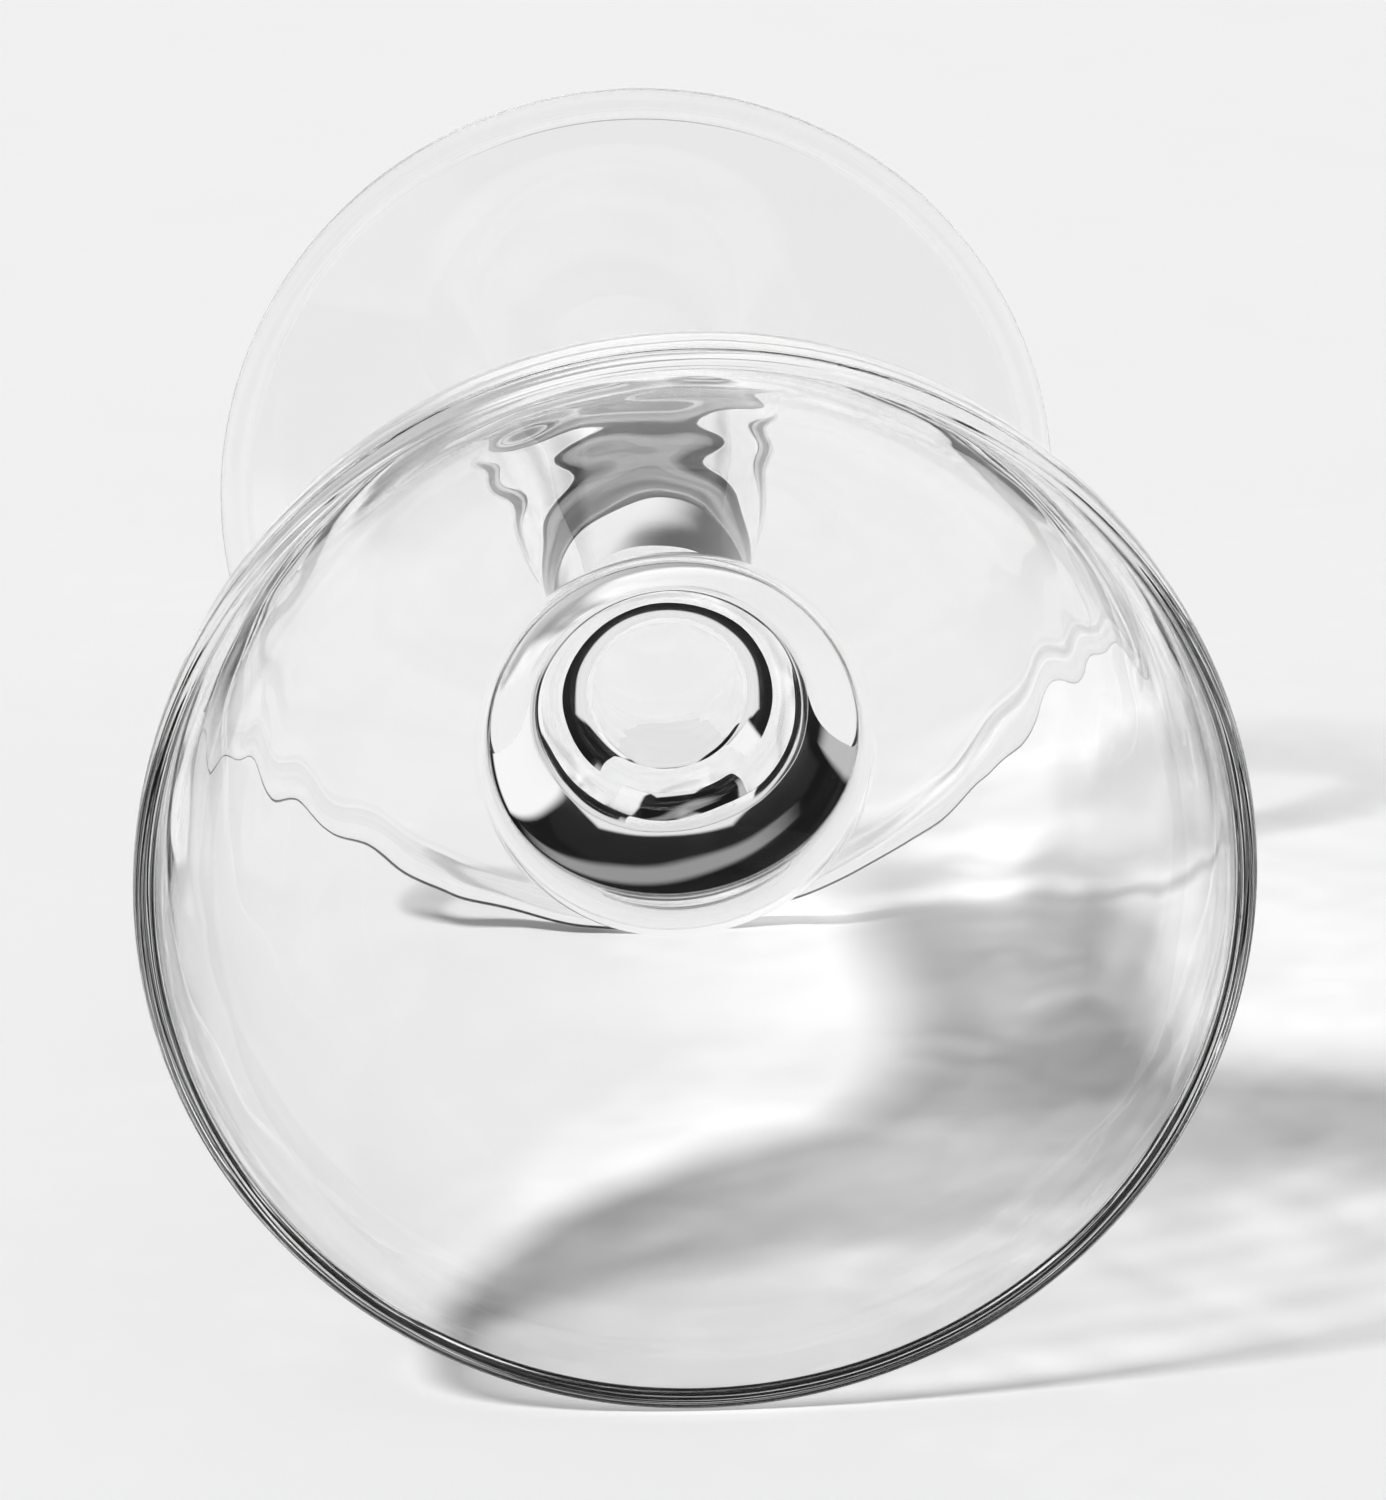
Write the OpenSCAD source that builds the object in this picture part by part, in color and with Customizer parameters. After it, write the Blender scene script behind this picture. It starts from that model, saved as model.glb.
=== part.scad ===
// Small stemmed liqueur glass in clear colourless glass.
// Three gathers of glass, fused hot one on the other: foot, stem and bowl.
// The foot stands on z = 0 and z is the axis of the glass. Sizes are in millimetres.

/* [Whole glass] */
// Height from the table to the top of the lip
glass_h = 85; // [75:0.5:110]

/* [Bowl] */
// Outside diameter of the bowl at the lip
rim_d = 65; // [54:0.5:80]
// Thickness of the wall at the lip
rim_wall = 1.3; // [0.8:0.1:2.4]
// Depth of the bowl inside, from the lip to the lowest point
bowl_depth = 27; // [20:0.5:30]
// Thickness of the glass under the lowest point inside
bowl_floor = 5.75; // [3:0.25:9]

/* [Stem] */
// Diameter of the stem where it is fused to the bowl
stem_top_d = 26; // [18:0.5:32]
// Diameter of the stem at its waist
waist_d = 12; // [7:0.25:14]
// Height of the waist above the table
waist_h = 35.5; // [26:0.5:42]
// Diameter of the stem where it is fused to the foot
stem_foot_d = 16; // [14:0.5:30]
// Shape of both flares: 1 is an oval, and more is nearer a cone
stem_taper = 1.4; // [1:0.05:1.6]

/* [Foot] */
// Outside diameter of the foot
foot_d = 59; // [46:0.5:74]
// Thickness of the foot at its rounded edge
foot_edge = 2.2; // [1.5:0.1:4]
// Height of the foot where the stem is fused to it
foot_crown = 5; // [4:0.1:9]
// Width of the flat ring that the foot stands on
stand_w = 0.8; // [0.4:0.1:4]
// Depth of the hollow under the foot
hollow_depth = 0.6; // [0.3:0.1:1.5]

/* [Hidden] */

$fn = 128;
// Steps along each curved stretch of a profile
curve_steps = 24;
quarter = 90;
half = 180;

rim_r = rim_d / 2;
lip_r = rim_wall / 2;
lip_z = glass_h - lip_r;
inner_r = rim_r - rim_wall;
inner_drop = bowl_depth - lip_r;
outer_drop = inner_drop + bowl_floor;

stem_top_r = stem_top_d / 2;
waist_r = waist_d / 2;
stem_foot_r = stem_foot_d / 2;
// The outside of the bowl is cut flat where it is as wide as the top of the stem
seat_angle = acos(stem_top_r / rim_r);
seat_z = lip_z - outer_drop * sin(seat_angle);

foot_r = foot_d / 2;
edge_r = foot_edge / 2;
edge_inner_r = foot_r - edge_r;
hollow_r = edge_inner_r - stand_w;

// Angles from one value to another in equal steps
function sweep(from, to) =
    [for (i = [0 : curve_steps]) from + (to - from) * i / curve_steps];

// Points of an ellipse about a centre, at the angles given
function oval(centre, radius, height, angles) =
    [for (a = angles) centre + [radius * cos(a), height * sin(a)]];

// Profile of a concave flare, upright at the waist (angle 0) and level at its end (angle 90)
function flare(end_r, end_z, angles) =
    [for (a = angles) [
        end_r - (end_r - waist_r) * pow(cos(a), stem_taper),
        waist_h + (end_z - waist_h) * pow(sin(a), stem_taper)]];

module turned(profile) {
    rotate_extrude() polygon(profile);
}

module bowl() {
    color("aliceblue", 0.4)
        turned(concat(
            [[0, seat_z]],
            oval([0, lip_z], rim_r, outer_drop, sweep(-seat_angle, 0)),
            oval([rim_r - lip_r, lip_z], lip_r, lip_r, sweep(0, half)),
            oval([0, lip_z], inner_r, inner_drop, sweep(0, -quarter))));
}

module stem() {
    color("aliceblue", 0.4)
        turned(concat(
            [[0, foot_crown]],
            flare(stem_foot_r, foot_crown, sweep(quarter, 0)),
            flare(stem_top_r, seat_z, sweep(0, quarter)),
            [[0, seat_z]]));
}

module foot() {
    color("aliceblue", 0.4)
        turned(concat(
            oval([0, 0], hollow_r, hollow_depth, sweep(quarter, 0)),
            oval([edge_inner_r, edge_r], edge_r, edge_r, sweep(-quarter, quarter)),
            [[stem_foot_r, foot_crown], [0, foot_crown]]));
}

bowl();
stem();
foot();
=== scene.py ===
"""Clear liqueur glass lying on its side on a pale table: pieces, finishes, light and camera."""
import logging
import math
from dataclasses import dataclass
from enum import Enum

import bpy
import numpy as np
from mathutils import Matrix, Vector
from mathutils.bvhtree import BVHTree
from mathutils.interpolate import poly_3d_calc


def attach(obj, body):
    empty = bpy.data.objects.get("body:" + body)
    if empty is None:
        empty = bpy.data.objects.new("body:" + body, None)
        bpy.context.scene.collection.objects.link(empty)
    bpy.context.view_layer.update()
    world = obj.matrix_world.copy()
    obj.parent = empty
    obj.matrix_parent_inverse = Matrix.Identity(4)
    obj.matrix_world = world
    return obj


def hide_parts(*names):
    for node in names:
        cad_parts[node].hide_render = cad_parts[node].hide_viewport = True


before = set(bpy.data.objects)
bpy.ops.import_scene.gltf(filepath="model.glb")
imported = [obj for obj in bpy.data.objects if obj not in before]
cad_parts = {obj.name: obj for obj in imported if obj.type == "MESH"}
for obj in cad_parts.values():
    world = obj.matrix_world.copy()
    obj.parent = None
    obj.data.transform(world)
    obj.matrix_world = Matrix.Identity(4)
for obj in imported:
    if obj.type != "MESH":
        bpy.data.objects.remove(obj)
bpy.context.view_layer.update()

LOG = logging.getLogger("liqueur_glass")

# One millimetre in the frame's metres
MM = 0.001
QUARTER = 90.0
HALF = 180.0
# Lies between none and one, where Light Path counts how often a ray was bent or mirrored
ANY = 0.5
# Surfaces that one path of light may cross
MOST_CROSSINGS = 24

Point = tuple[float, float]


class Zone(Enum):
    """Material slots of a glass piece: open skin, fused seam and thin flat sheet."""

    SKIN = 0
    SEAM = 1
    SHEET = 2


def linear(code: str) -> tuple[float, float, float, float]:
    """Turn an sRGB hex colour into linear light.

    Args:
        code: colour such as "#f1f1f1".

    Returns:
        Linear red, green, blue and a full alpha.
    """
    parts = [int(code[i:i + 2], 16) / 255 for i in (1, 3, 5)]
    lit = [c / 12.92 if c <= 0.04045 else ((c + 0.055) / 1.055) ** 2.4 for c in parts]
    return (lit[0], lit[1], lit[2], 1.0)


def add_node(
    tree: bpy.types.NodeTree,
    kind: str,
    settings: dict[str | int, object] | None = None,
    links: dict[str | int, bpy.types.NodeSocket] | None = None,
) -> bpy.types.Node:
    """Add a node, set its options and sockets, and wire its inputs.

    Args:
        tree: node tree that gets the node.
        kind: Blender's name of the node.
        settings: values by option name, socket name or socket number.
        links: output sockets by the input that they feed.

    Returns:
        The new node.
    """
    node = tree.nodes.new(kind)
    for key, value in (settings or {}).items():
        if isinstance(key, int) or key in node.inputs:
            node.inputs[key].default_value = value
        else:
            setattr(node, key, value)
    for key, source in (links or {}).items():
        tree.links.new(source, node.inputs[key])
    return node


def sweep(start: float, stop: float, steps: int) -> list[float]:
    """Give angles from one value to another in equal steps.

    Args:
        start: first angle in degrees.
        stop: last angle in degrees.
        steps: number of steps between them.

    Returns:
        The angles, both ends among them.
    """
    return [start + (stop - start) * i / steps for i in range(steps + 1)]


def oval(centre: Point, radius: float, height: float, angles: list[float]) -> list[Point]:
    """Give points of an ellipse.

    Args:
        centre: radius and height of its centre, in mm.
        radius: half its width, in mm.
        height: half its height, in mm.
        angles: where the points lie, in degrees.

    Returns:
        Points as radius and height, in mm.
    """
    turns = [math.radians(a) for a in angles]
    return [(centre[0] + radius * math.cos(t), centre[1] + height * math.sin(t)) for t in turns]


class SpunPiece:
    """A solid of glass, turned round the upright axis."""

    name: str
    node: str
    slot: str
    around: int = 320
    along: int = 72
    merge: float = 0.002
    crease: float = 35.0

    def outline(self) -> list[Point]:
        """Give half the cross-section, from axis to axis, in mm."""
        raise NotImplementedError

    def seams(self) -> list[float]:
        """Give the heights of the flat faces that are fused to a neighbour, in mm."""
        raise NotImplementedError

    def build(self) -> bpy.types.Object:
        """Draw the outline by extruding a point, then spin it into a closed solid.

        Returns:
            The finished piece, with its place in its mesh.
        """
        line = self.outline()
        bpy.ops.object.select_all(action="DESELECT")
        bpy.ops.mesh.primitive_plane_add(size=MM, location=(line[0][0] * MM, 0, line[0][1] * MM))
        piece = bpy.context.object
        piece.name = piece.data.name = self.name
        bpy.ops.object.transform_apply(location=True, rotation=True, scale=True)
        bpy.ops.object.mode_set(mode="EDIT")
        bpy.ops.mesh.select_mode(type="VERT")
        bpy.ops.mesh.select_all(action="SELECT")
        bpy.ops.mesh.merge(type="CENTER")
        for (r0, z0), (r1, z1) in zip(line, line[1:]):
            step = ((r1 - r0) * MM, 0.0, (z1 - z0) * MM)
            bpy.ops.mesh.extrude_region_move(TRANSFORM_OT_translate={"value": step})
        bpy.ops.mesh.select_all(action="SELECT")
        bpy.ops.mesh.spin(steps=self.around, angle=math.tau, center=(0, 0, 0), axis=(0, 0, 1))
        bpy.ops.mesh.select_all(action="SELECT")
        bpy.ops.mesh.remove_doubles(threshold=self.merge * MM)
        bpy.ops.mesh.normals_make_consistent(inside=False)
        bpy.ops.object.mode_set(mode="OBJECT")
        bpy.ops.object.shade_smooth_by_angle(angle=math.radians(self.crease))
        return piece

    def sheet_r(self) -> float:
        """Give the radius inside which the piece is a thin flat sheet, in mm."""
        return 0.0

    def dress(self, piece: bpy.types.Object, finishes: dict[Zone, bpy.types.Material]) -> None:
        """Give each zone of the piece its finish.

        Args:
            piece: the built mesh.
            finishes: the material of each zone.
        """
        for zone in Zone:
            piece.data.materials.append(finishes[zone])
        for face in piece.data.polygons:
            heights = [piece.data.vertices[v].co.z / MM for v in face.vertices]
            fused = any(max(abs(h - z) for h in heights) < self.merge for z in self.seams())
            thin = face.center.xy.length / MM < self.sheet_r()
            zone = Zone.SEAM if fused else Zone.SHEET if thin else Zone.SKIN
            face.material_index = zone.value

    def seat(self, piece: bpy.types.Object) -> None:
        """Put the piece in its CAD node's place on the one body.

        Args:
            piece: the dressed mesh.
        """
        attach(piece, "root")
        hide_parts(self.node)


@dataclass(frozen=True)
class Bowl(SpunPiece):
    """The open cup: a half-round lip, an oval outside and an oval inside."""

    name: str = "glass_bowl"
    node: str = "bowl"
    slot: str = "bowl_glass"
    top: float = 85.0
    rim_d: float = 64.99
    rim_wall: float = 1.3
    depth: float = 27.0
    floor: float = 5.75
    seat_d: float = 26.0
    ring_wave: float = 3.4
    ring_height: float = 0.014
    ring_fade: float = 3.0
    ring_shift: float = 0.37
    ring_beat: float = 0.618
    lip_steps: int = 16
    along: int = 104

    @property
    def lip_r(self) -> float:
        """Radius of the rounded lip."""
        return self.rim_wall / 2

    @property
    def lip_z(self) -> float:
        """Height of the middle of the lip."""
        return self.top - self.lip_r

    @property
    def rim_r(self) -> float:
        """Radius of the bowl at its lip."""
        return self.rim_d / 2

    @property
    def inner_drop(self) -> float:
        """Fall of the inside below the middle of the lip."""
        return self.depth - self.lip_r

    @property
    def outer_drop(self) -> float:
        """Fall of the outside's oval below the middle of the lip."""
        return self.inner_drop + self.floor

    @property
    def seat_angle(self) -> float:
        """Angle on the outside's oval where it is as wide as the stem."""
        return math.degrees(math.acos(self.seat_d / self.rim_d))

    @property
    def seat_z(self) -> float:
        """Height of the flat face that the stem is fused to."""
        return self.lip_z - self.outer_drop * math.sin(math.radians(self.seat_angle))

    def ringed(self, line: list[Point], start: float) -> list[Point]:
        """Let a wall swell in faint rings, as the mould leaves it, but not at its ends.

        Args:
            line: points of the wall as radius and height, in mm.
            start: where the rings start, in turns.

        Returns:
            The points with their radius changed a little.
        """
        top, bottom = max(z for _, z in line), min(z for _, z in line)
        swollen = []
        for r, z in line:
            turns = start + z / self.ring_wave
            # Two waves that never fall in step keep the rings uneven
            swell = math.sin(math.tau * turns) + math.sin(math.tau * turns * self.ring_beat)
            calm = min(1.0, (top - z) / self.ring_fade, (z - bottom) / self.ring_fade)
            swollen.append((r - self.ring_height * calm * (1 + swell / 2) / 2, z))
        return swollen

    def outline(self) -> list[Point]:
        """Give half the cross-section, from the seat round the lip to the inside.

        Returns:
            Points as radius and height, in mm.
        """
        centre = (0.0, self.lip_z)
        outside = oval(centre, self.rim_r, self.outer_drop, sweep(-self.seat_angle, 0, self.along))
        lip = oval((self.rim_r - self.lip_r, self.lip_z), self.lip_r, self.lip_r,
                   sweep(0, HALF, self.lip_steps))
        inside = oval(centre, self.rim_r - self.rim_wall, self.inner_drop,
                      sweep(0, -QUARTER, self.along))
        return [(0.0, self.seat_z), *self.ringed(outside, 0.0), *lip[1:],
                *self.ringed(inside, self.ring_shift)[1:]]

    def seams(self) -> list[float]:
        """Give the height of the seat."""
        return [self.seat_z]


@dataclass(frozen=True)
class Foot(SpunPiece):
    """The round disc with a beaded edge and a shallow hollow under it."""

    name: str = "glass_foot"
    node: str = "foot"
    slot: str = "foot_glass"
    foot_d: float = 59.0
    edge: float = 2.2
    crown: float = 5.0
    stand_w: float = 0.8
    hollow: float = 0.6
    stem_d: float = 16.0
    bead: float = 155.0
    edge_steps: int = 24

    @property
    def foot_r(self) -> float:
        """Radius of the foot."""
        return self.foot_d / 2

    @property
    def edge_r(self) -> float:
        """Radius of the rounded edge."""
        return self.edge / 2

    def outline(self) -> list[Point]:
        """Give half the cross-section, from the hollow round the edge to the crown.

        Returns:
            Points as radius and height, in mm.
        """
        inner = self.foot_r - self.edge_r
        hollow = oval((0.0, 0.0), inner - self.stand_w, self.hollow, sweep(QUARTER, 0, self.along))
        rounded = oval((inner, self.edge_r), self.edge_r, self.edge_r,
                       sweep(-QUARTER, self.bead, self.edge_steps))
        return [*hollow, *rounded, (self.stem_d / 2, self.crown), (0.0, self.crown)]

    def seams(self) -> list[float]:
        """Give the height of the crown, where the stem is fused on."""
        return [self.crown]

    def sheet_r(self) -> float:
        """Give the radius of the disc inside its beaded edge."""
        return self.foot_r - self.edge_r / 2


@dataclass(frozen=True)
class Stem(SpunPiece):
    """The solid waist, flared into the bowl above and the foot below."""

    bowl: Bowl
    foot: Foot
    name: str = "glass_stem"
    node: str = "stem"
    slot: str = "stem_glass"
    waist_d: float = 12.0
    waist_h: float = 35.5
    taper: float = 1.4

    def flare(self, end_r: float, end_z: float, angles: list[float]) -> list[Point]:
        """Give a concave flare, upright at the waist and level where it ends.

        Args:
            end_r: radius where it ends, in mm.
            end_z: height where it ends, in mm.
            angles: from the waist at 0 to the end at 90 degrees.

        Returns:
            Points as radius and height, in mm.
        """
        reach, rise = end_r - self.waist_d / 2, end_z - self.waist_h
        turns = [math.radians(a) for a in angles]
        return [(end_r - reach * abs(math.cos(t)) ** self.taper,
                 self.waist_h + rise * math.sin(t) ** self.taper) for t in turns]

    def outline(self) -> list[Point]:
        """Give half the cross-section, from the foot's crown to the bowl's seat.

        Returns:
            Points as radius and height, in mm.
        """
        low = self.flare(self.foot.stem_d / 2, self.foot.crown, sweep(QUARTER, 0, self.along))
        high = self.flare(self.bowl.seat_d / 2, self.bowl.seat_z, sweep(0, QUARTER, self.along))
        return [(0.0, self.foot.crown), *low, *high[1:], (0.0, self.bowl.seat_z)]

    def seams(self) -> list[float]:
        """Give the heights of both fused ends."""
        return [self.foot.crown, self.bowl.seat_z]


@dataclass(frozen=True)
class Ripple:
    """Shallow waves that the mould and the cooling leave in the skin of pressed glass."""

    wave: float = 9.0
    height: float = 0.08
    fade: float = 4.0
    detail: int = 1

    def press(self, piece: bpy.types.Object, still: list[float]) -> None:
        """Move the skin in and out a little, but not where it is fused or rests.

        Args:
            piece: the spun mesh.
            still: heights at which nothing moves, in mm.
        """
        noise = bpy.data.textures.new("ripple", "CLOUDS")
        noise.noise_scale = self.wave * MM
        noise.noise_depth = self.detail
        group = piece.vertex_groups.new(name="loose")
        for vertex in piece.data.vertices:
            near = min(abs(vertex.co.z / MM - z) for z in still)
            group.add([vertex.index], min(1.0, near / self.fade), "REPLACE")
        bpy.ops.object.select_all(action="DESELECT")
        piece.select_set(True)
        bpy.context.view_layer.objects.active = piece
        bpy.ops.object.modifier_add(type="DISPLACE")
        waves = piece.modifiers[-1]
        waves.texture = noise
        waves.texture_coords = "LOCAL"
        waves.strength = self.height * MM
        waves.vertex_group = group.name
        bpy.ops.object.modifier_apply(modifier=waves.name)


@dataclass(frozen=True)
class PressedGlass:
    """Clear soda-lime glass, pressed hot and fire polished."""

    name: str = "soda_lime_glass_fire_polished"
    tint: str = "#ffffff"
    seed_tint: str = "#8c8f8e"
    sheen_tint: str = "#8a8a8a"
    shade: str = "#fbfbfb"
    lets_light_by: bool = False
    ior: float = 1.52
    ring_wave: float = 0.9
    ring_length: float = 14.0
    ring_height: float = 0.0003
    ring_detail: float = 1.0
    seed_spacing: float = 13.0
    seed_size: float = 0.16
    wear_height: float = 0.05
    wear_grain: float = 0.4
    wear_roughness: float = 0.35

    def material(self) -> bpy.types.Material:
        """Build the finish as a node material.

        Soda-lime glass is pressed hot in a mould and then fire polished: the flame melts the
        skin, so it is as smooth as water and shows the room. The turning glass keeps faint rings
        round its axis, which draw fine streaks beside the lip. A few seeds, which are tiny
        bubbles, show as specks. Standing on tables dulls the ring under the foot. A thin sheet of
        it lets the lamp's light straight by, so that it hardly shades the table.

        Returns:
            The material.
        """
        made = bpy.data.materials.new(self.name)
        made.use_nodes = True
        tree = made.node_tree
        shader = tree.nodes["Principled BSDF"]
        shader.inputs["IOR"].default_value = self.ior
        shader.inputs["Transmission Weight"].default_value = 1.0
        shader.inputs["Specular Tint"].default_value = linear(self.sheen_tint)
        place = add_node(tree, "ShaderNodeTexCoord").outputs["Object"]
        seeds = self.seeds(tree, place)
        tree.links.new(add_node(tree, "ShaderNodeMix", {
            "data_type": "RGBA", 6: linear(self.tint), 7: linear(self.seed_tint)},
            {0: seeds}).outputs[2], shader.inputs["Base Color"])
        tree.links.new(self.wear(tree, place), shader.inputs["Roughness"])
        tree.links.new(self.rings(tree, place), shader.inputs["Normal"])
        if self.lets_light_by:
            path = add_node(tree, "ShaderNodeLightPath")
            clear = add_node(tree, "ShaderNodeBsdfTransparent", {"Color": linear(self.shade)})
            both = add_node(tree, "ShaderNodeMixShader", links={
                0: path.outputs["Is Shadow Ray"], 1: shader.outputs["BSDF"],
                2: clear.outputs["BSDF"]})
            tree.links.new(both.outputs["Shader"],
                           tree.nodes["Material Output"].inputs["Surface"])
        return made

    def rings(self, tree: bpy.types.NodeTree,
              place: bpy.types.NodeSocket) -> bpy.types.NodeSocket:
        """Draw faint rings round the axis as a bump.

        Args:
            tree: the material's nodes.
            place: coordinates on the glass.

        Returns:
            A socket with the bumped normal.
        """
        across, along = 1 / (self.ring_length * MM), 1 / (self.ring_wave * MM)
        stretched = add_node(tree, "ShaderNodeVectorMath", {
            "operation": "MULTIPLY", 1: (across, across, along)}, {0: place})
        waves = add_node(tree, "ShaderNodeTexNoise", {"Scale": 1.0, "Detail": self.ring_detail},
                         {"Vector": stretched.outputs["Vector"]})
        bump = add_node(tree, "ShaderNodeBump", {"Distance": self.ring_height * MM},
                        {"Height": waves.outputs[0]})
        return bump.outputs["Normal"]

    def seeds(self, tree: bpy.types.NodeTree,
              place: bpy.types.NodeSocket) -> bpy.types.NodeSocket:
        """Scatter a few seeds in the glass.

        Args:
            tree: the material's nodes.
            place: coordinates on the glass.

        Returns:
            A socket that is 1 on a seed and 0 elsewhere.
        """
        cells = add_node(tree, "ShaderNodeTexVoronoi", {"Scale": 1 / (self.seed_spacing * MM)},
                         {"Vector": place})
        radius = self.seed_size / self.seed_spacing
        spot = add_node(tree, "ShaderNodeMapRange", {
            "interpolation_type": "SMOOTHSTEP", "From Min": radius, "From Max": radius / 2},
            {"Value": cells.outputs["Distance"]})
        return spot.outputs["Result"]

    def wear(self, tree: bpy.types.NodeTree,
             place: bpy.types.NodeSocket) -> bpy.types.NodeSocket:
        """Dull the ring that the foot stands on, in an uneven grain.

        Args:
            tree: the material's nodes.
            place: coordinates on the glass.

        Returns:
            A socket with the roughness.
        """
        height = add_node(tree, "ShaderNodeSeparateXYZ", links={"Vector": place})
        low = add_node(tree, "ShaderNodeMapRange", {
            "From Min": self.wear_height * MM, "From Max": 0.0, "To Max": self.wear_roughness},
            {"Value": height.outputs["Z"]})
        grain = add_node(tree, "ShaderNodeTexNoise", {"Scale": 1 / (self.wear_grain * MM)},
                         {"Vector": place})
        worn = add_node(tree, "ShaderNodeMath", {"operation": "MULTIPLY"}, {
            0: low.outputs["Result"], 1: grain.outputs[0]})
        return worn.outputs["Value"]


@dataclass(frozen=True)
class FusedSeam:
    """Glass melted into glass: no surface is left, so light goes straight on."""

    name: str = "soda_lime_glass_fused"
    tint: str = "#ffffff"

    def material(self) -> bpy.types.Material:
        """Build the finish as a node material.

        Returns:
            The material.
        """
        made = bpy.data.materials.new(self.name)
        made.use_nodes = True
        tree = made.node_tree
        tree.nodes.clear()
        clear = add_node(tree, "ShaderNodeBsdfTransparent", {"Color": linear(self.tint)})
        add_node(tree, "ShaderNodeOutputMaterial", links={"Surface": clear.outputs["BSDF"]})
        return made


@dataclass(frozen=True)
class Table:
    """The pale board that the glass lies on, touching lip and foot."""

    bowl: Bowl
    foot: Foot
    tint: str = "#f2f2f2"
    cloud: str = "#efefef"
    # Painted shade: the card's tone far in front, where the glass mirrors it
    painted_shade: str = "#404040"
    cloud_size: float = 18.0
    cloud_detail: float = 4.0
    lit_front: float = 25.0
    dim_front: float = 75.0
    gap: float = 0.06
    patch: float = 260.0
    patch_right: float = 40.0
    patch_away: float = 40.0
    cells: int = 260
    reach: float = 14.0
    layer: str = "thrown_light"

    def axes(self) -> Matrix:
        """Lean the table on the lip and the foot's edge.

        Returns:
            Its right, away and up directions, as the rows of a matrix.
        """
        run = self.bowl.lip_z - self.foot.edge_r
        fall = self.bowl.rim_r - self.foot.foot_r
        up = Vector((0.0, run, fall)).normalized()
        right = Vector((1.0, 0.0, 0.0))
        return Matrix((right, up.cross(right), up))

    def direction(self, azimuth: float, elevation: float) -> Vector:
        """Give a direction seen from the table.

        Args:
            azimuth: 0 is right, 90 away from the viewer, 180 left, in degrees.
            elevation: above the table, in degrees.

        Returns:
            A unit vector in the frame.
        """
        turn, rise = math.radians(azimuth), math.radians(elevation)
        flat = math.cos(rise)
        local = Vector((flat * math.cos(turn), flat * math.sin(turn), math.sin(rise)))
        return self.axes().transposed() @ local

    @property
    def touch(self) -> Vector:
        """Point of the table just under the lip, in mm."""
        return Vector((0.0, -self.bowl.rim_r, self.bowl.lip_z)) - self.axes()[2] * self.gap

    @property
    def middle(self) -> Vector:
        """Middle of the finely divided patch round the glass, in mm."""
        right, away, _ = self.axes()
        return self.touch + right * self.patch_right + away * self.patch_away

    def build(self) -> bpy.types.Object:
        """Lay a board under the glass: a fine patch near it and a wide margin.

        Returns:
            The table.
        """
        right, away, up = self.axes()
        bpy.ops.object.select_all(action="DESELECT")
        bpy.ops.mesh.primitive_grid_add(x_subdivisions=self.cells, y_subdivisions=self.cells,
                                        size=1.0)
        table = bpy.context.object
        table.name = table.data.name = "table"
        place = Matrix((right, away, up)).transposed() * self.patch * MM
        table.matrix_world = Matrix.Translation(self.middle * MM) @ place.to_4x4()
        bpy.ops.object.transform_apply(location=True, rotation=True, scale=True)
        bpy.ops.object.mode_set(mode="EDIT")
        bpy.ops.mesh.select_mode(type="EDGE")
        bpy.ops.mesh.select_all(action="DESELECT")
        bpy.ops.mesh.select_non_manifold()
        bpy.ops.mesh.extrude_edges_move()
        bpy.ops.transform.resize(value=(self.reach,) * 3, center_override=self.middle * MM)
        bpy.ops.object.mode_set(mode="OBJECT")
        table.data.materials.append(self.material())
        return table

    def catch(self, table: bpy.types.Object, spots: list[tuple[Vector, float]],
              soften: int = 1) -> None:
        """Keep the light that lands on the table in its fine patch.

        Args:
            table: the built table.
            spots: places in mm, and the light that lands there times its area in square mm.
            soften: how often each cell is evened out with its neighbours.
        """
        right, away, _ = self.axes()
        cell = self.patch / self.cells
        corner = self.middle - (right + away) * self.patch / 2
        offsets = [p - corner for p, _ in spots]
        flat = np.array([(o.dot(right), o.dot(away)) for o in offsets]) / cell
        light = np.array([power for _, power in spots]) / cell ** 2
        inside = np.all((flat > 0) & (flat < self.cells), axis=1)
        flat, light = flat[inside], light[inside]
        low = flat.astype(int)
        part = flat - low
        field = np.zeros((self.cells + 1, self.cells + 1))
        for i in (0, 1):
            for j in (0, 1):
                share = np.abs(1 - i - part[:, 0]) * np.abs(1 - j - part[:, 1])
                np.add.at(field, (low[:, 0] + i, low[:, 1] + j), share * light)
        for _ in range(soften):
            for axis in (0, 1):
                sides = np.roll(field, 1, axis) + np.roll(field, -1, axis)
                field = field / 2 + sides / 4
        field[[0, -1], :] = field[:, [0, -1]] = 0.0
        values = np.zeros(len(table.data.vertices))
        for vertex in table.data.vertices:
            offset = vertex.co / MM - corner
            i, j = round(offset.dot(right) / cell), round(offset.dot(away) / cell)
            if 0 <= i <= self.cells and 0 <= j <= self.cells:
                values[vertex.index] = field[i, j]
        kept = table.data.attributes.new(self.layer, "FLOAT", "POINT")
        kept.data.foreach_set("value", values)

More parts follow.
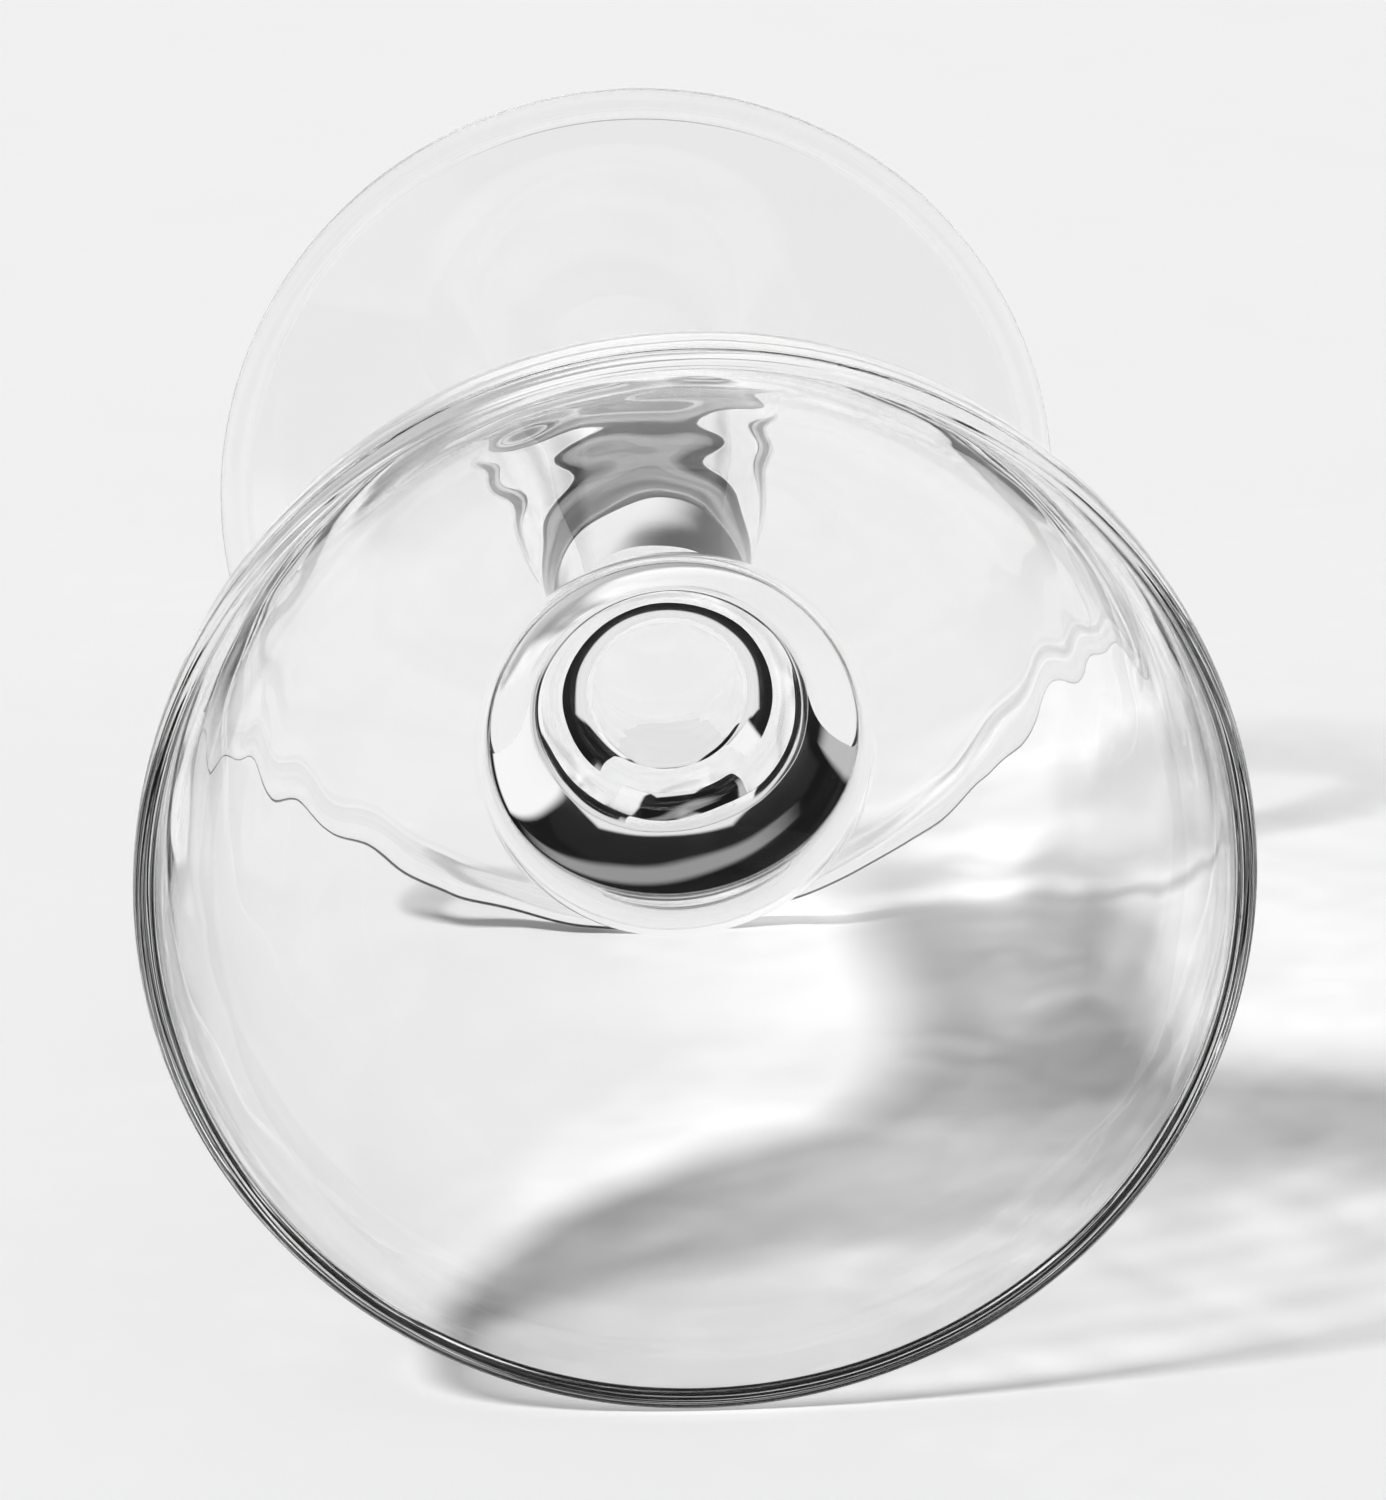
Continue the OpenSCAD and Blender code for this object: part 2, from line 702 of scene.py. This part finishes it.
    def material(self) -> bpy.types.Material:
        """Build matt white card, open from below so that it hides nothing.

        Card is pressed from paper pulp and left uncoated: it scatters light evenly, so it has no
        gloss, and the pulp lies in soft clouds that differ a little in tone. Where the glass
        mirrors it, the card is painted darker toward the front, toward the viewer: painted shade.
        The lamp's light that the glass bends onto the card is painted on it as a glow.

        Returns:
            The material.
        """
        made = bpy.data.materials.new("matt_white_card")
        made.use_nodes = True
        tree = made.node_tree
        tree.nodes.clear()
        place = add_node(tree, "ShaderNodeTexCoord").outputs["Object"]
        pulp = add_node(tree, "ShaderNodeTexNoise", {
            "Scale": 1 / (self.cloud_size * MM), "Detail": self.cloud_detail}, {"Vector": place})
        card = add_node(tree, "ShaderNodeMix", {
            "data_type": "RGBA", 6: linear(self.tint), 7: linear(self.cloud)},
            {0: pulp.outputs[0]})
        # Painted shade: seen mirrored in the glass, the card is painted darker toward the front
        path = add_node(tree, "ShaderNodeLightPath")
        mirrored = add_node(tree, "ShaderNodeMath", {"operation": "GREATER_THAN", 1: ANY},
                            {0: path.outputs["Glossy Depth"]})
        away = self.axes()[1]
        ahead = add_node(tree, "ShaderNodeVectorMath", {"operation": "DOT_PRODUCT", 1: -away},
                         {0: place})
        start = -self.touch.dot(away)
        far = add_node(tree, "ShaderNodeMapRange", {
            "interpolation_type": "SMOOTHSTEP", "From Min": (start + self.lit_front) * MM,
            "From Max": (start + self.dim_front) * MM}, {"Value": ahead.outputs["Value"]})
        dim = add_node(tree, "ShaderNodeMath", {"operation": "MULTIPLY"}, {
            0: mirrored.outputs["Value"], 1: far.outputs["Result"]})
        tone = add_node(tree, "ShaderNodeMix", {"data_type": "RGBA", 7: linear(self.painted_shade)},
                        {0: dim.outputs["Value"], 6: card.outputs[2]})
        paper = add_node(tree, "ShaderNodeBsdfDiffuse", links={"Color": tone.outputs[2]})
        # Painted light: the card glows with the lamp's light that the glass bends onto it, traced
        # by ThrownLight and kept in the thrown_light layer
        thrown = add_node(tree, "ShaderNodeAttribute", {"attribute_name": self.layer})
        streaks = add_node(tree, "ShaderNodeEmission", links={
            "Color": tone.outputs[2], "Strength": thrown.outputs["Fac"]})
        lit = add_node(tree, "ShaderNodeAddShader", links={
            0: paper.outputs["BSDF"], 1: streaks.outputs["Emission"]})
        none = add_node(tree, "ShaderNodeBsdfTransparent")
        side = add_node(tree, "ShaderNodeNewGeometry")
        both = add_node(tree, "ShaderNodeMixShader", links={
            0: side.outputs["Backfacing"], 1: lit.outputs["Shader"], 2: none.outputs["BSDF"]})
        add_node(tree, "ShaderNodeOutputMaterial", links={"Surface": both.outputs["Shader"]})
        return made


class GlassSkin:
    """All open faces of the glass, ready to be met by rays of light."""

    def __init__(self, pieces: list[bpy.types.Object]) -> None:
        """Gather the open faces and a smooth normal at each of their corners.

        Args:
            pieces: the dressed pieces of the glass.
        """
        self.points: list[Vector] = []
        self.normals: list[Vector] = []
        self.faces: list[tuple[int, ...]] = []
        for piece in pieces:
            first = len(self.points)
            sums = [Vector() for _ in piece.data.vertices]
            for face in piece.data.polygons:
                if face.material_index == Zone.SKIN.value:
                    self.faces.append(tuple(first + v for v in face.vertices))
                    for v in face.vertices:
                        sums[v] += face.normal * face.area
            self.points += [v.co / MM for v in piece.data.vertices]
            self.normals += [n.normalized() for n in sums]
        self.tree = BVHTree.FromPolygons(self.points, self.faces)

    def normal(self, index: int, place: Vector) -> Vector:
        """Give the smooth normal at a place on a face.

        Args:
            index: the face.
            place: the place, in mm.

        Returns:
            A unit vector.
        """
        corners = self.faces[index]
        shares = poly_3d_calc([self.points[c] for c in corners], place)
        even = Vector()
        for share, corner in zip(shares, corners):
            even += share * self.normals[corner]
        return even.normalized()


@dataclass(frozen=True)
class ThrownLight:
    """The lamp's light that the glass bends and throws on the table."""

    table: Table
    skin: GlassSkin
    beam: Vector
    strength: float
    ior: float
    spread: float = 6.0
    boost: float = 1.1
    step: float = 0.22
    half_span: float = 62.0
    distance: float = 150.0
    crossings: int = 10
    lift: float = 0.0005
    # Two fractions that never fall into rows
    out_step: float = 0.7548776662
    turn_step: float = 0.5698402910

    def bend(self, ray: Vector, normal: Vector, entering: bool) -> tuple[Vector, float]:
        """Bend a ray at the skin, or throw it back where it can't leave the glass.

        Args:
            ray: direction of the ray.
            normal: outward normal of the skin.
            entering: whether the ray comes from the air.

        Returns:
            The new direction and the share of the light that goes there.
        """
        ratio = 1 / self.ior if entering else self.ior
        facing = normal if entering else -normal
        steep = max(-ray.dot(facing), 0.0)
        rest = 1 - ratio ** 2 * (1 - steep ** 2)
        if rest <= 0:
            return (ray + 2 * steep * facing).normalized(), 1.0
        leaving = math.sqrt(rest)
        across = (ratio * steep - leaving) / (ratio * steep + leaving)
        upright = (steep - ratio * leaving) / (steep + ratio * leaving)
        onward = ratio * ray + (ratio * steep - leaving) * facing
        return onward.normalized(), 1 - (across ** 2 + upright ** 2) / 2

    def follow(self, start: Vector, ray: Vector) -> tuple[Vector, float] | None:
        """Follow a ray from the lamp through the glass to the table.

        Args:
            start: where it starts, in mm.
            ray: its direction.

        Returns:
            Where it lands and the share that is left, or None for a ray that is lost or free.
        """
        up, touch = self.table.axes()[2], self.table.touch
        share, met = 1.0, False
        for _ in range(self.crossings):
            place, flat, index, far = self.skin.tree.ray_cast(start, ray)
            fall = ray.dot(up)
            drop = (touch - start).dot(up) / fall if fall < 0 else math.inf
            if place is None or drop < far:
                return (start + ray * drop, share) if met and drop < math.inf else None
            met = True
            ray, kept = self.bend(ray, self.skin.normal(index, place), ray.dot(flat) < 0)
            share *= kept
            start = place + ray * self.lift
        return None

    def cast(self) -> list[tuple[Vector, float]]:
        """Send an even grid of rays from the lamp at the glass.

        Returns:
            Where each bent ray lands, in mm, and its light times its area over pi.
        """
        side = self.beam.orthogonal().normalized()
        other = self.beam.cross(side)
        heart = Vector((0.0, 0.0, self.table.bowl.top / 2))
        count = round(2 * self.half_span / self.step)
        widest = math.radians(self.spread / 2)
        power = self.boost * self.strength * self.step ** 2 / math.pi
        spots = []
        for k in range(count * count):
            # Spread the rays evenly over the lamp's disc
            out = widest * math.sqrt(k * self.out_step % 1)
            turn = math.tau * (k * self.turn_step % 1)
            source = self.beam + side * out * math.cos(turn) + other * out * math.sin(turn)
            row, column = divmod(k, count)
            aim = (heart + side * (self.step * (row + 0.5) - self.half_span)
                   + other * (self.step * (column + 0.5) - self.half_span))
            found = self.follow(aim + source * self.distance, -source.normalized())
            if found:
                spots.append((found[0], found[1] * power))
        return spots


@dataclass(frozen=True)
class Card:
    """A patch of the room that shows in the glass: its place, spread and tone."""

    azimuth: float
    elevation: float
    half_width: float
    half_height: float
    soft: float
    tone: float


@dataclass(frozen=True)
class Studio:
    """The room round the table: a dark surround, white cards and one soft lamp."""

    table: Table
    backdrop: str = "#f1f1f1"
    surround: float = 0.01
    beyond: float = 0.88
    fill: float = 0.32
    key_azimuth: float = 209.0
    key_elevation: float = 48.0
    key_spread: float = 9.0
    key_strength: float = 2.88
    cards: tuple[Card, ...] = (
        Card(azimuth=205, elevation=3, half_width=62, half_height=8, soft=0.3, tone=0.5),
        Card(azimuth=28, elevation=8, half_width=38, half_height=17, soft=0.15, tone=0.95),
        Card(azimuth=238, elevation=66, half_width=16, half_height=8, soft=0.4, tone=1.0),
        Card(azimuth=304, elevation=12, half_width=15, half_height=9, soft=0.3, tone=0.6),
    )
    # Past this many mirrorings in the glass, the back cards fade from sight
    most_mirrorings: float = 3.5
    back_cards: tuple[Card, ...] = (
        Card(azimuth=88, elevation=14, half_width=20, half_height=21, soft=0.1, tone=0.8),
        Card(azimuth=70, elevation=66, half_width=52, half_height=7, soft=0.5, tone=0.3),
    )
    # A dark room above and below the pale backdrop
    behind: tuple[Card, ...] = (
        Card(azimuth=90, elevation=0, half_width=80, half_height=60, soft=0.05, tone=0.01),
        Card(azimuth=90, elevation=0, half_width=82, half_height=26, soft=0.15, tone=0.88),
    )
    sheen: tuple[Card, ...] = (
        Card(azimuth=80, elevation=6, half_width=60, half_height=22, soft=0.3, tone=1.0),
    )

    @property
    def beam(self) -> Vector:
        """Direction toward the lamp."""
        return self.table.direction(self.key_azimuth, self.key_elevation)

    def patch(self, tree: bpy.types.NodeTree, ray: bpy.types.NodeSocket,
              card: Card) -> bpy.types.NodeSocket:
        """Draw where a card stands, as a mask over all directions.

        Args:
            tree: the world's nodes.
            ray: direction of the light ray.
            card: the card.

        Returns:
            A socket that is 1 inside the card and 0 outside.
        """
        ahead = self.table.direction(card.azimuth, card.elevation)
        side = self.table.direction(card.azimuth - QUARTER, 0.0)
        top = self.table.direction(card.azimuth, card.elevation + QUARTER)
        front = add_node(tree, "ShaderNodeVectorMath", {"operation": "DOT_PRODUCT", 1: ahead},
                         {0: ray})
        spans = []
        for axis, half in ((side, card.half_width), (top, card.half_height)):
            scaled = axis / math.tan(math.radians(half))
            along = add_node(tree, "ShaderNodeVectorMath", {"operation": "DOT_PRODUCT", 1: scaled},
                             {0: ray})
            share = add_node(tree, "ShaderNodeMath", {"operation": "DIVIDE"},
                             {0: along.outputs["Value"], 1: front.outputs["Value"]})
            spans.append(add_node(tree, "ShaderNodeMath", {"operation": "ABSOLUTE"},
                                  {0: share.outputs["Value"]}))
        widest = add_node(tree, "ShaderNodeMath", {"operation": "MAXIMUM"},
                          {0: spans[0].outputs["Value"], 1: spans[1].outputs["Value"]})
        inside = add_node(tree, "ShaderNodeMapRange", {
            "interpolation_type": "SMOOTHSTEP", "From Min": 1 + card.soft,
            "From Max": 1 - card.soft}, {"Value": widest.outputs["Value"]})
        facing = add_node(tree, "ShaderNodeMath", {"operation": "GREATER_THAN", 1: 0.0},
                          {0: front.outputs["Value"]})
        mask = add_node(tree, "ShaderNodeMath", {"operation": "MULTIPLY"},
                        {0: inside.outputs["Result"], 1: facing.outputs["Value"]})
        return mask.outputs["Value"]

    def tones(self, tree: bpy.types.NodeTree, ray: bpy.types.NodeSocket,
              cards: tuple[Card, ...], surround: float) -> bpy.types.NodeSocket:
        """Stand cards in a plain surround.

        Args:
            tree: the world's nodes.
            ray: direction of the light ray.
            cards: the cards, each in front of the ones before it.
            surround: tone of the room where no card stands.

        Returns:
            A socket with the room's tone in each direction.
        """
        tone = None
        for card in cards:
            mix = add_node(tree, "ShaderNodeMix", {
                "data_type": "FLOAT", 2: surround, 3: card.tone},
                {0: self.patch(tree, ray, card)})
            if tone is not None:
                tree.links.new(tone, mix.inputs[2])
            tone = mix.outputs[0]
        return tone

    def build(self) -> None:
        """Light the table with the room and the lamp."""
        world = bpy.data.worlds.new("studio")
        bpy.context.scene.world = world
        world.use_nodes = True
        tree = world.node_tree
        tree.nodes.clear()
        ray = add_node(tree, "ShaderNodeTexCoord").outputs["Generated"]
        path = add_node(tree, "ShaderNodeLightPath")
        outer, straight, first = (
            add_node(tree, "ShaderNodeMath", {"operation": "LESS_THAN", 1: ANY},
                     {0: path.outputs[kind]}).outputs["Value"]
            for kind in ("Transmission Depth", "Glossy Depth", "Diffuse Depth"))
        few = add_node(tree, "ShaderNodeMath", {
            "operation": "LESS_THAN", 1: self.most_mirrorings}, {0: path.outputs["Glossy Depth"]})
        within = add_node(tree, "ShaderNodeMix", {"data_type": "FLOAT"}, {
            0: few.outputs["Value"], 2: self.tones(tree, ray, self.cards, self.surround),
            3: self.tones(tree, ray, self.cards + self.back_cards, self.surround)})
        mirrored = add_node(tree, "ShaderNodeMix", {"data_type": "FLOAT"}, {
            0: outer, 2: within.outputs[0],
            3: self.tones(tree, ray, self.cards + self.sheen, self.surround)})
        inside = add_node(tree, "ShaderNodeMix", {"data_type": "FLOAT"}, {
            0: straight, 2: mirrored.outputs[0],
            3: self.tones(tree, ray, self.behind, self.beyond)})
        room = add_node(tree, "ShaderNodeBackground", links={"Color": inside.outputs[0]})
        fill = add_node(tree, "ShaderNodeBackground", {"Color": (1, 1, 1, 1),
                                                       "Strength": self.fill})
        pale = add_node(tree, "ShaderNodeBackground", {"Color": linear(self.backdrop)})
        glassy = add_node(tree, "ShaderNodeMath", {"operation": "MAXIMUM"}, {
            0: path.outputs["Is Glossy Ray"], 1: path.outputs["Is Transmission Ray"]})
        shown = add_node(tree, "ShaderNodeMath", {"operation": "MULTIPLY"}, {
            0: glassy.outputs["Value"], 1: first})
        lit = add_node(tree, "ShaderNodeMixShader", links={
            0: shown.outputs["Value"], 1: fill.outputs[0], 2: room.outputs[0]})
        seen = add_node(tree, "ShaderNodeMixShader", links={
            0: path.outputs["Is Camera Ray"], 1: lit.outputs[0], 2: pale.outputs[0]})
        add_node(tree, "ShaderNodeOutputWorld", links={"Surface": seen.outputs[0]})
        self.lamp()

    def lamp(self) -> None:
        """Hang the soft lamp that throws the shadows."""
        light = bpy.data.lights.new("key_lamp", "SUN")
        light.energy = self.key_strength
        light.angle = math.radians(self.key_spread)
        lamp = bpy.data.objects.new("key_lamp", light)
        bpy.context.scene.collection.objects.link(lamp)
        lamp.rotation_mode = "QUATERNION"
        lamp.rotation_quaternion = Vector((0, 0, 1)).rotation_difference(self.beam)
        lamp.visible_glossy = False
        lamp.visible_transmission = False


@dataclass(frozen=True)
class Viewpoint:
    """The camera: a long lens a little above the table, looking into the bowl."""

    place: tuple[float, float, float] = (-16.435, 116.640, 410.264)
    aim: tuple[float, float, float] = (0.04710, -0.31414, -0.94821)
    lens: float = 144.0
    sensor: float = 36.0
    farthest: float = 100.0

    def build(self, up: Vector) -> None:
        """Set up the camera, level with the table.

        Args:
            up: the table's normal.
        """
        data = bpy.data.cameras.new("camera")
        data.lens = self.lens
        data.sensor_width = self.sensor
        data.clip_end = self.farthest
        camera = bpy.data.objects.new("camera", data)
        bpy.context.scene.collection.objects.link(camera)
        ahead = Vector(self.aim).normalized()
        right = ahead.cross(up).normalized()
        turn = Matrix((right, right.cross(ahead), -ahead)).transposed().to_4x4()
        camera.matrix_world = Matrix.Translation(Vector(self.place) * MM) @ turn
        bpy.context.scene.camera = camera


def set_light_paths(bounces: int) -> None:
    """Let light cross as many glass surfaces as the glass has.

    Args:
        bounces: most surfaces on one path.
    """
    scene = bpy.context.scene
    scene.view_settings.view_transform = "Standard"
    scene.cycles.max_bounces = bounces
    scene.cycles.transmission_bounces = bounces
    scene.cycles.glossy_bounces = bounces
    scene.cycles.transparent_max_bounces = 2 * bounces
    scene.cycles.sample_clamp_indirect = 0.0


def main() -> None:
    """Build the glass, the table, the light and the camera, in order."""
    logging.basicConfig(level=logging.INFO, format="%(name)s: %(message)s")
    bowl, foot = Bowl(), Foot()
    stem = Stem(bowl, foot)
    ripple = Ripple()
    glass = PressedGlass()
    disc = PressedGlass("soda_lime_glass_flat_disc", sheen_tint="#ffffff", lets_light_by=True)
    finishes = {Zone.SKIN: glass.material(), Zone.SEAM: FusedSeam().material(),
                Zone.SHEET: disc.material()}
    pieces = []
    for part in (bowl, stem, foot):
        piece = part.build()
        part.dress(piece, finishes)
        ripple.press(piece, [0.0, bowl.lip_z, bowl.top, *part.seams()])
        part.seat(piece)
        pieces.append(piece)
        LOG.info("%s: %d faces", piece.name, len(piece.data.polygons))
    table = Table(bowl, foot)
    board = table.build()
    LOG.info("table laid")
    studio = Studio(table)
    studio.build()
    thrown = ThrownLight(table, GlassSkin(pieces), studio.beam, studio.key_strength, glass.ior)
    table.catch(board, thrown.cast())
    LOG.info("studio lit")
    Viewpoint().build(table.axes()[2])
    LOG.info("camera set")
    set_light_paths(MOST_CROSSINGS)


if __name__ == "__main__":
    main()
